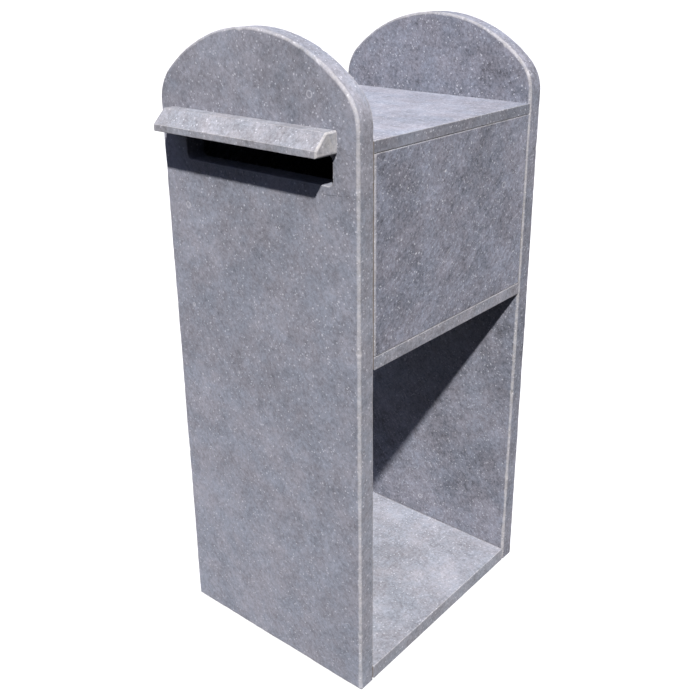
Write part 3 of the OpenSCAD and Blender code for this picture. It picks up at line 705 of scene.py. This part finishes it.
# %% [markdown]
# ## The door and its frame
# Both are folded from stainless sheet. A fold never leaves a sharp edge: outside it is round, with a radius a
# little larger than the sheet is thick. A Bevel modifier could round a box, but here the section itself has
# the round folds. It is a closed polygon of distance inwards and depth, and is carried round a rectangle.

# %% Sections of folded sheet


def filleted(corners, radii, steps=4):
    """Points of each rounded corner of a closed section. With h half the angle between the corner's sides, the
    arc starts r / tan h from the corner, its centre lies r / sin h along the bisector, and it turns evenly."""
    corners, radii = np.array(corners) * MM, np.array(radii)[:, None] * MM
    back, ahead = np.roll(corners, 1, 0) - corners, np.roll(corners, -1, 0) - corners
    back, ahead = (d / np.linalg.norm(d, axis=1, keepdims=True) for d in (back, ahead))
    h = np.arccos(np.clip((back * ahead).sum(1), -1, 1))[:, None] / 2
    middle = back + ahead
    centre = corners + middle / np.linalg.norm(middle, axis=1, keepdims=True) * radii / np.sin(h)
    first, last = corners + back * radii / np.tan(h) - centre, corners + ahead * radii / np.tan(h) - centre
    turn, t = np.pi - 2 * h, np.linspace(0, 1, steps + 1)[None]
    share = (np.sin((1 - t) * turn) / np.sin(turn), np.sin(t * turn) / np.sin(turn))
    return centre[:, None] + share[0][..., None] * first[:, None] + share[1][..., None] * last[:, None]


def soft_rectangle(box, inset, bend, steps=5):
    """The box moved inwards by inset, with corners of radius bend: a quarter of a circle about each corner's
    centre, which lies inset + bend inside both sides."""
    x0, z0, x1, z1 = box
    turn = (np.arange(4)[:, None] + np.linspace(0, 1, steps)[None]) * np.pi / 2
    pull = inset + bend
    x = np.array([x1 - pull, x0 + pull, x0 + pull, x1 - pull])[:, None] + bend * np.cos(turn)
    z = np.array([z1 - pull, z1 - pull, z0 + pull, z0 + pull])[:, None] + bend * np.sin(turn)
    return x.ravel(), z.ravel()


LIP_CORNER, WALL_CORNER, PLAY = 3.5, 0.7, 0.5      # mm; PLAY is the room between the wall and the stone
PRESSED, CUT, STOP_CUT = 0.4, 0.5, 0.6             # mm; radii inside a fold, at the lip's edge, at the stop's


def folded_frame(name, node, sheet, lip, stop):
    """Lip, wall and stop in one section, in mm, carried round the frame's box. The lip has rounder corners."""
    low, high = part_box(node)
    face, inner = high.y / MM, low.y / MM
    wall, fold = lip + PLAY, sheet + PRESSED
    corners = [(0, face), (wall + sheet, face), (wall + sheet, inner + sheet), (wall + stop, inner + sheet),
               (wall + stop, inner), (wall, inner), (wall, face - sheet), (0, face - sheet)]
    section = filleted(corners, [CUT, fold, PRESSED, STOP_CUT, STOP_CUT, fold, PRESSED, CUT])
    on_arc = np.tile([True] * (section.shape[1] - 1) + [False], len(corners))
    rows = []
    for inset, y in section.reshape(-1, 2):
        bend = max(LIP_CORNER * MM - inset, WALL_CORNER * MM)
        x, z = soft_rectangle((low.x, low.z, high.x, high.z), inset, bend)
        rows.append(np.stack([x, y + 0 * x, z], -1))
    turning = np.tile([True, True, True, True, False], 4)
    return grid_piece(name, np.array(rows), on_arc[:, None] | turning[None], True)


frame_steel = folded_frame("frame_steel", "door_frame", 2.0, 20.0, 14.0)
print(frame_steel.name, len(frame_steel.data.polygons), "quads,", round(volume_of(frame_steel) * 1e6), "cm3")

# %% Make the door


def circle(u, outset, hole):
    """Circle about hole["centre"], grown by outset. u from 0 to 1 goes once round."""
    r = hole["radius"] + outset
    return hole["centre"][0] + r * np.cos(2 * np.pi * u), hole["centre"][1] + r * np.sin(2 * np.pi * u)


LOCK_HOLE, HOLE_BEVEL, HOLE_FLAT = 8.1 * MM, 0.25 * MM, 1.5 * MM


def folded_door(name, node, lock, sheet, fold):
    """The tray: one closed grid, from the outer face over the folded rim and the inner face to the hole."""
    low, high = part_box(node)
    tray = {"corner": fold + 0.2 * MM, "box": (low.x, low.z, high.x, high.z)}
    middle = (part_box(lock)[0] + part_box(lock)[1]) / 2
    hole = {"centre": (middle.x, middle.z), "radius": LOCK_HOLE}
    outer = (rounded, tray, 8, spaced(rounded, tray, 8, 4 * MM, 5))
    inner = (circle, hole, 1, np.arange(64) / 64)
    u, v = meet(outer, inner, hole["centre"])
    face, edge, t, flat = high.y / MM, low.y / MM, sheet / MM, fold / MM + 0.1
    back = high.y - sheet
    section = filleted([(flat, face), (0, face), (0, edge), (t, edge), (t, face - t), (flat, face - t)],
                       [0.01, fold / MM, PRESSED, PRESSED, fold / MM - t, 0.01])
    stations = [(flat * MM, high.y)] + section[1:5].reshape(-1, 2).tolist() + [(flat * MM, back)]
    on_arc = [False] + ([True] * (section.shape[1] - 1) + [False]) * 4 + [False]
    rim = [(HOLE_FLAT, back), (HOLE_BEVEL, back), (0, back + HOLE_BEVEL),
           (0, high.y - HOLE_BEVEL), (HOLE_BEVEL, high.y), (HOLE_FLAT, high.y)]
    rows = []
    for outline, shape, place, way, section in ((rounded, tray, u, -1, stations), (circle, hole, v, 1, rim)):
        for inset, y in section:
            x, z = outline(place, way * inset, shape)
            rows.append(np.stack([x, y + 0 * x, z], -1))
    walls = np.isin(np.arange(len(rows)), np.arange(1, len(stations) - 2))
    smooth = np.array(on_arc + [False] * len(rim))[:, None] | (walls[:, None] & (np.floor(u) % 2 == 1)[None])
    return grid_piece(name, np.array(rows), smooth, True)


door_steel = folded_door("door_steel", "door_leaf", "lock_housing", 1.5 * MM, 2.4 * MM)
print(door_steel.name, len(door_steel.data.polygons), "quads,", round(volume_of(door_steel) * 1e6), "cm3")

# %% [markdown]
# ## The key
# The key is a flat blank of plated brass. Its bow is a disc with a hole for the ring, its blade has five cuts
# that lift the lock's pins. The plate is worked out as an upper and a lower half that meet on the middle line,
# each a height over the length, and both get a small chamfer all round, as stamping and tumbling leave it.

# %% Make the key


BLADE_HALF, KEY_CHAMFER, TIP = 3.7 * MM, 0.25 * MM, 1.6 * MM
FIRST_CUT, CUT_STEP, CUT_FLAT, CUT_DEPTHS = 4.5, 3.6, 0.4 * MM, (0.7, 1.1, 1.5, 1.9, 1.3)
EYE, EYE_OUT = 2.75 * MM, 4.95 * MM           # radius of the ring's hole, and how far off the bow's middle it is


def key_piece(name, node, seed):
    """Height over the length y: the blade's half width less its cuts, each with 45 degree flanks down to a
    flat, then the bow, the square root of r2 - (y - c)2. Four copies of the outline make the chamfered rim."""
    low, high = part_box(node)
    rng = np.random.default_rng(seed)
    bow, centre_z = (high.z - low.z) / 2, (high.z + low.z) / 2
    centre_y = high.y - bow
    neck = centre_y - math.sqrt(bow ** 2 - BLADE_HALF ** 2)
    turn = np.linspace(math.asin(BLADE_HALF / bow), math.pi, 40)[1:-1]
    round_bow = np.stack([centre_y - bow * np.cos(turn), bow * np.sin(turn)], -1)
    depths = rng.permutation(CUT_DEPTHS) * MM
    cuts = low.y + (FIRST_CUT + CUT_STEP * np.arange(len(depths))) * MM
    y = low.y + np.concatenate([[0, TIP], np.linspace(TIP + 0.1 * MM, neck - low.y, 150)])
    blade = BLADE_HALF - np.clip(TIP - (y - low.y), 0, None)
    lift = depths[None] - np.maximum(0, np.abs(y[:, None] - cuts[None]) - CUT_FLAT)
    upper = np.concatenate([np.stack([y, blade - np.maximum(0, lift).max(1)], -1), round_bow])
    lower = np.concatenate([np.stack([y, -blade], -1), round_bow * [1, -1]])
    outline = np.concatenate([[[low.y, 0]], upper, [[high.y, 0]], lower[::-1]])
    ring = np.arange(32) * np.pi / 16
    hole = np.stack([centre_y + EYE_OUT + EYE * np.cos(ring), EYE * np.sin(ring)], -1)
    loops, faces, first = [], [], []
    for points in (outline, hole):
        ahead = np.roll(points, -1, 0) - np.roll(points, 1, 0)
        outwards = np.stack([-ahead[:, 1], ahead[:, 0]], -1) / np.linalg.norm(ahead, axis=1, keepdims=True)
        inside = points - outwards * KEY_CHAMFER
        rows = [(inside, low.x), (points, low.x + KEY_CHAMFER),
                (points, high.x - KEY_CHAMFER), (inside, high.x)]
        here = np.arange(4 * len(points)).reshape(4, -1) + sum(len(l) for l in loops)
        faces += np.stack([here[:-1], here[1:], np.roll(here[1:], -1, 1), np.roll(here[:-1], -1, 1)],
                          -1).reshape(-1, 4).tolist()
        loops += [np.stack([x + 0 * p[:, 0], p[:, 0], p[:, 1] + centre_z], -1) for p, x in rows]
        first.append(here)
    end = len(upper) + 1                                        # place of the end of the bow in the outline
    for rim, eye in ((first[0][0], first[1][0]), (first[0][3], first[1][3])):
        faces.append([*rim[:end + 1].tolist(), *eye[:17].tolist()])
        faces.append([*rim[end:].tolist(), int(rim[0]), *eye[16:].tolist(), int(eye[0])])
    mesh = bpy.data.meshes.new(name)
    mesh.from_pydata(np.concatenate(loops), [], faces)
    work = bmesh.new()
    work.from_mesh(mesh)
    bmesh.ops.recalc_face_normals(work, faces=work.faces)
    work.to_mesh(mesh)
    work.free()
    piece = bpy.data.objects.new(name, mesh)
    scene.collection.objects.link(piece)
    return piece


cut_key = key_piece("cut_key", "key", 41)
print(cut_key.name, len(cut_key.data.polygons), "faces,", round(volume_of(cut_key) * 1e9), "mm3")

# %% [markdown]
# ## Stainless steel, brushed
# The door, its frame, the hinges and the screws are stainless steel, brushed with an abrasive belt. The belt
# leaves fine scratches, all one way, which spread the reflection across themselves: a soft streak stands at
# right angles to the grain. Real scratches are 0.02 mm wide; here they are 0.5 mm wide, so that they show.
# A thin veil of dust and fingerprints changes the gloss in patches of 55 mm.

# %% Metals


def brushed_steel(name, along, tone="#b4b5b6", gloss=0.3):
    """along is the axis of the belt's scratches; gloss is the roughness between them."""
    made, tree = new_material(name)
    start = add(tree, "TexCoord", {}).outputs["Object"]
    stretch = [1.0, 1.0, 1.0]
    stretch[along] = 0.012                                      # a scratch is about 40 mm long
    laid = add(tree, "Mapping", {"Vector": start, "Scale": stretch})
    scratch = add(tree, "TexNoise", {"Vector": laid, "Scale": per_metre(0.5), "Detail": 3.0, "Roughness": 0.7})
    veil = add(tree, "TexNoise", {"Vector": start, "Scale": per_metre(55), "Detail": 4.0, "Roughness": 0.6})
    speck = add(tree, "TexNoise", {"Vector": start, "Scale": per_metre(3), "Detail": 2.0})
    line = add(tree, "MapRange", {"Value": scratch, "From Min": 0.3, "From Max": 0.7,
                                  "To Min": 0.84, "To Max": 1.06})
    cloud = add(tree, "MapRange", {"Value": veil, "From Min": 0.3, "From Max": 0.7,
                                   "To Min": 0.93, "To Max": 1.03})
    level = add(tree, "Math", {"operation": "MULTIPLY", 0: line, 1: cloud})
    body = add(tree, "VectorMath", {"operation": "SCALE", 0: paint(tone)[:3], "Scale": level})
    rough = add(tree, "MapRange", {"Value": scratch, "To Min": gloss - 0.08, "To Max": gloss + 0.1})
    dull = add(tree, "MapRange", {"Value": veil, "From Min": 0.45, "From Max": 0.75,
                                  "To Min": 0.0, "To Max": 0.14})
    rough = add(tree, "Math", {"operation": "ADD", 0: rough, 1: dull})
    height = add(tree, "Math", {"operation": "MULTIPLY_ADD", 0: speck, 1: 0.15,
                                2: scratch})
    bump = add(tree, "Bump", {"Height": height, "Strength": 0.25, "Distance": 0.05 * MM})
    shader = add(tree, "BsdfPrincipled", {"Base Color": body, "Metallic": 1.0, "Roughness": rough,
                                          "Normal": bump})
    add(tree, "OutputMaterial", {"Surface": shader})
    return made


def polished_plating(name, tone, gloss):
    """Bright nickel or chrome plate on brass: nearly a mirror, with hairline scratches from keys and rings."""
    made, tree = new_material(name)
    start = add(tree, "TexCoord", {}).outputs["Object"]
    bent = add(tree, "TexNoise", {"Vector": start, "Scale": per_metre(7), "Detail": 2.0})
    swirl = add(tree, "VectorMath", {"operation": "SCALE", 0: bent.outputs["Color"], "Scale": 6 * MM})
    moved = add(tree, "VectorMath", {"operation": "ADD", 0: start, 1: swirl})
    hair = add(tree, "TexNoise", {"Vector": moved, "Scale": per_metre(0.7), "Detail": 3.0, "Roughness": 0.75})
    handled = add(tree, "TexNoise", {"Vector": start, "Scale": per_metre(9), "Detail": 3.0})
    rough = add(tree, "MapRange", {"Value": handled, "From Min": 0.35, "From Max": 0.7,
                                   "To Min": gloss, "To Max": gloss + 0.14})
    level = add(tree, "MapRange", {"Value": hair, "To Min": 0.9, "To Max": 1.04})
    body = add(tree, "VectorMath", {"operation": "SCALE", 0: paint(tone)[:3], "Scale": level})
    bump = add(tree, "Bump", {"Height": hair, "Strength": 0.12, "Distance": 0.03 * MM})
    shader = add(tree, "BsdfPrincipled", {"Base Color": body, "Metallic": 1.0, "Roughness": rough,
                                          "Normal": bump})
    add(tree, "OutputMaterial", {"Surface": shader})
    return made


upright_steel = brushed_steel("brushed_stainless_upright", Z)
drawn_steel = brushed_steel("drawn_stainless_bar", Y, "#aeafb0", 0.26)
turned_steel = brushed_steel("cold_headed_stainless", X, "#bcbcbc", 0.2)
bright_chrome = polished_plating("chrome_plate_on_zinc", "#cdcfd2", 0.08)
bright_nickel = polished_plating("nickel_plate_on_brass", "#c9c4b8", 0.16)
print("metals: brushed sheet, drawn bar, cold-headed screws, chrome and nickel plate")

# %% [markdown]
# ## Adhesive, nylon and rubber
# The beds are a two-part stone adhesive: matt, full of fine sand and pale, as it shows at the panels and the
# hood.
# Where a bed is set back in the shade of the end joints, it gets a darker brown copy of the same adhesive:
# painted shade. The plugs are moulded nylon with a faint orange-peel skin. The gasket is a black foam rubber
# with closed cells, so its skin is pitted and throws almost no reflection.

# %% Adhesive, nylon and rubber


def grained(name, tones, grain, spread, rough, relief):
    """A matt filled material: two tones, mixed by noises of two sizes in mm. The finer one is relief too."""
    made, tree = new_material(name)
    start = add(tree, "TexCoord", {}).outputs["Object"]
    fine = add(tree, "TexNoise", {"Vector": start, "Scale": per_metre(grain), "Detail": 4.0, "Roughness": 0.75})
    broad = add(tree, "TexNoise", {"Vector": start, "Scale": per_metre(spread), "Detail": 3.0})
    cells = add(tree, "TexVoronoi", {"Vector": start, "Scale": per_metre(grain * 1.6)})
    both = add(tree, "Math", {"operation": "MULTIPLY_ADD", 0: broad, 1: 0.7, 2: fine})
    share = add(tree, "MapRange", {"Value": both, "From Min": 0.55, "From Max": 1.15})
    body = add(tree, "Mix", {"data_type": "RGBA", 0: share, 6: paint(tones[0]), 7: paint(tones[1])}).outputs[2]
    gloss = add(tree, "MapRange", {"Value": fine, "To Min": rough - 0.1, "To Max": rough + 0.1})
    height = add(tree, "Math", {"operation": "MULTIPLY_ADD", 0: cells.outputs["Distance"], 1: 0.8,
                                2: fine})
    bump = add(tree, "Bump", {"Height": height, "Strength": 0.6, "Distance": relief * MM})
    shader = add(tree, "BsdfPrincipled", {"Base Color": body, "Roughness": gloss,
                                          "Normal": bump, "IOR": 1.5, "Specular IOR Level": 0.4})
    add(tree, "OutputMaterial", {"Surface": shader})
    return made


pale_adhesive = grained("bleached_stone_adhesive", ("#85838a", "#b4b3b4"), 1.5, 12, 0.8, 0.3)
# painted shade: a darker brown copy of the same adhesive, for the beds set back in the end joints
shade_painted_adhesive = grained("sanded_stone_adhesive", ("#4d4640", "#7a7069"), 1.2, 18, 0.75, 0.3)
grey_nylon = grained("moulded_nylon", ("#b7b5ae", "#c9c7c0"), 0.8, 9, 0.42, 0.05)
foam_rubber = grained("closed_cell_foam_rubber", ("#17181a", "#2b2c2e"), 0.6, 12, 0.85, 0.3)

FINISHES = {
    upright_steel: ["hinge_frame_leaves", "hinge_door_leaves"],
    drawn_steel: ["base_dowels", "shelf_dowels", "roof_dowels", "panel_dowels", "hood_dowels", "lock_cam",
                  "lock_nut"],
    turned_steel: ["hinge_pins", "frame_screws", "cam_screw"],
    bright_chrome: ["lock_housing", "lock_plug"],
    # the beds of the end joints get the painted shade copy of the adhesive
    shade_painted_adhesive: ["front_bed", "back_bed"],
    pale_adhesive: ["panel_beds", "hood_bed"],
    grey_nylon: ["frame_plugs"],
    foam_rubber: ["door_gasket"],
}
for finish, nodes in FINISHES.items():
    for node in nodes:
        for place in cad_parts[node].material_slots:
            place.material = finish

METAL_PIECES = [(frame_steel, "door_frame", "pillar", "stainless_steel", upright_steel),
                (door_steel, "door_leaf", "door", "stainless_steel", upright_steel),
                (cut_key, "key", "key", "lock_chrome", bright_nickel)]
for piece, node, body, slot, finish in METAL_PIECES:
    piece.data.materials.append(finish)
    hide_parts(node)
    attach(piece, body)
print(sum(len(n) for n in FINISHES.values()), "CAD nodes and", len(METAL_PIECES), "pieces have their finish")
